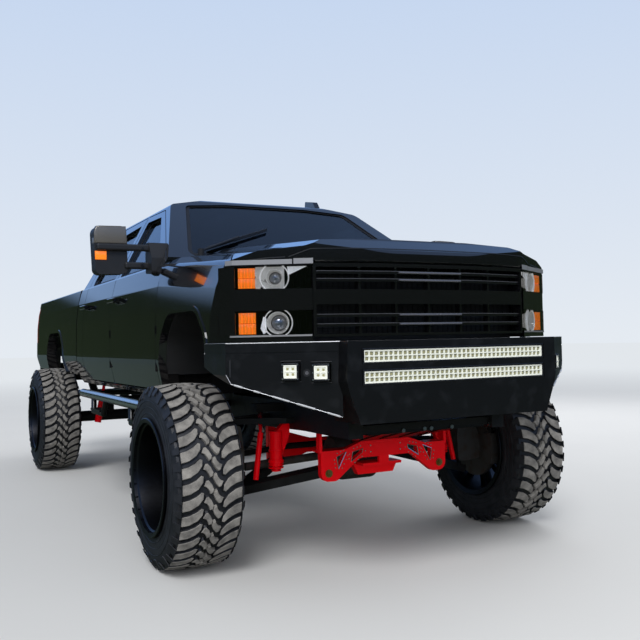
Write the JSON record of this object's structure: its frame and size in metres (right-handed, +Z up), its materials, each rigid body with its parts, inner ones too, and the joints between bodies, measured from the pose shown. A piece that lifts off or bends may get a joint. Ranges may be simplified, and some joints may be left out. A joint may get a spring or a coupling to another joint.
{
  "type": "lifted four-door pickup truck",
  "caption": "Lifted black four-door pickup truck with mud tyres, steel front bumper, light bars, opening doors, hood and tailgate, steered and rolling wheels.",
  "frame": {"origin": "middle of the overall length and width, on the ground under the truck", "axes": "+Z up, +Y to the rear of the truck, +X to the truck's own left side"},
  "size_m": [2.5952, 6.114, 2.1864],
  "materials": {
    "body_paint": "gloss black clear coat",
    "trim_black": "textured black plastic",
    "powder_black": "satin black powder coat",
    "frame_black": "satin black frame wax",
    "lift_red": "gloss red powder coat",
    "glass_tint": "dark tinted glass",
    "lamp_clear": "clear lamp lens over a bright bowl",
    "lamp_red": "red lamp lens",
    "led_white": "white lamp board in a black housing",
    "tyre_rubber": "moulded tread rubber",
    "wheel_dark": "dark satin wheel finish",
    "iron": "bare cast iron",
    "steel": "plain steel",
    "bright_step": "polished tube",
    "cloth_seat": "black seat cloth",
    "cabin_plastic": "dark cabin plastic"
  },
  "bodies": {
    "chassis": {"frame_rails": "frame_black", "frame_crossmembers": "frame_black", "lift_crossmember": "lift_red", "control_arms": "frame_black", "bump_stops": "lift_red", "shock_absorbers": "lift_red", "engine_block": "iron", "driveline": "iron", "rear_axle": "frame_black", "leaf_springs": "frame_black", "exhaust": "steel", "fuel_tank": "trim_black", "cab_shell": "body_paint", "fixed_glass": "glass_tint", "antenna_fin": "body_paint", "dashboard": "cabin_plastic", "steering_wheel": "cabin_plastic", "front_seats": "cloth_seat", "rear_seat": "cloth_seat", "seat_frames": "cabin_plastic", "front_fenders": "body_paint", "wheel_liners": "trim_black", "radiator": "trim_black", "grille": "body_paint", "headlamps": "lamp_clear", "front_bumper": "powder_black", "skid_plate": "powder_black", "light_bars": "led_white", "bed_box": "trim_black", "bed_sides": "body_paint", "tail_lamps": "lamp_red", "rear_bumper": "powder_black", "step_bars": "bright_step"},
    "steering_link": {"steering_rod": "frame_black"},
    "knuckle_left_body": {"knuckle_left": "iron"},
    "knuckle_right_body": {"knuckle_right": "iron"},
    "hood_body": {"hood": "body_paint"},
    "tailgate_body": {"tailgate": "body_paint"},
    "front_door_left_body": {"front_door_left": "body_paint", "front_door_glass_left": "glass_tint", "mirror_left": "trim_black"},
    "wheel_front_left_body": {"rim_front_left": "wheel_dark", "tyre_front_left": "tyre_rubber"},
    "front_door_right_body": {"front_door_right": "body_paint", "front_door_glass_right": "glass_tint", "mirror_right": "trim_black"},
    "wheel_front_right_body": {"rim_front_right": "wheel_dark", "tyre_front_right": "tyre_rubber"},
    "rear_door_left_body": {"rear_door_left": "body_paint", "rear_door_glass_left": "glass_tint"},
    "wheel_rear_left_body": {"rim_rear_left": "wheel_dark", "tyre_rear_left": "tyre_rubber"},
    "rear_door_right_body": {"rear_door_right": "body_paint", "rear_door_glass_right": "glass_tint"},
    "wheel_rear_right_body": {"rim_rear_right": "wheel_dark", "tyre_rear_right": "tyre_rubber"}
  },
  "joints": [
    {"name": "steer_left", "type": "hinge", "parent": "chassis", "child": "knuckle_left_body", "pos_m": [0.74, -2.053, 0.467], "axis": [0, 0, 1], "range_deg": [-28, 28]},
    {"name": "wheel_front_left_spin", "type": "hinge", "parent": "knuckle_left_body", "child": "wheel_front_left_body", "pos_m": [1.01, -2.053, 0.467], "axis": [1, 0, 0], "continuous": true},
    {"name": "wheel_rear_left_spin", "type": "hinge", "parent": "chassis", "child": "wheel_rear_left_body", "pos_m": [1.01, 1.851, 0.467], "axis": [1, 0, 0], "continuous": true},
    {"name": "front_door_left_hinge", "type": "hinge", "parent": "chassis", "child": "front_door_left_body", "pos_m": [0.999, -1.545, 1.4], "axis": [0, 0, -1], "range_deg": [0, 66]},
    {"name": "rear_door_left_hinge", "type": "hinge", "parent": "chassis", "child": "rear_door_left_body", "pos_m": [0.999, -0.411, 1.4], "axis": [0, 0, -1], "range_deg": [0, 66]},
    {"name": "steer_right", "type": "hinge", "parent": "chassis", "child": "knuckle_right_body", "pos_m": [-0.74, -2.053, 0.467], "axis": [0, 0, 1], "range_deg": [-28, 28]},
    {"name": "wheel_front_right_spin", "type": "hinge", "parent": "knuckle_right_body", "child": "wheel_front_right_body", "pos_m": [-1.01, -2.053, 0.467], "axis": [1, 0, 0], "continuous": true},
    {"name": "wheel_rear_right_spin", "type": "hinge", "parent": "chassis", "child": "wheel_rear_right_body", "pos_m": [-1.01, 1.851, 0.467], "axis": [1, 0, 0], "continuous": true},
    {"name": "front_door_right_hinge", "type": "hinge", "parent": "chassis", "child": "front_door_right_body", "pos_m": [-0.999, -1.545, 1.4], "axis": [0, 0, 1], "range_deg": [0, 66]},
    {"name": "rear_door_right_hinge", "type": "hinge", "parent": "chassis", "child": "rear_door_right_body", "pos_m": [-0.999, -0.411, 1.4], "axis": [0, 0, 1], "range_deg": [0, 66]},
    {"name": "steering_slide", "type": "slide", "parent": "chassis", "child": "steering_link", "axis": [1, 0, 0], "range_m": [-0.11, 0.11]},
    {"name": "hood_hinge", "type": "hinge", "parent": "chassis", "child": "hood_body", "pos_m": [0, -1.535, 1.678], "axis": [-1, 0, 0], "range_deg": [0, 50]},
    {"name": "tailgate_hinge", "type": "hinge", "parent": "chassis", "child": "tailgate_body", "pos_m": [0, 2.915, 1.106], "axis": [-1, 0, 0], "range_deg": [0, 90]}
  ],
  "couplings": [
    {"joint": "steer_right", "follows": "steer_left", "ratio": 1},
    {"joint": "steering_slide", "follows": "steer_left", "m_per_rad": -0.2}
  ]
}
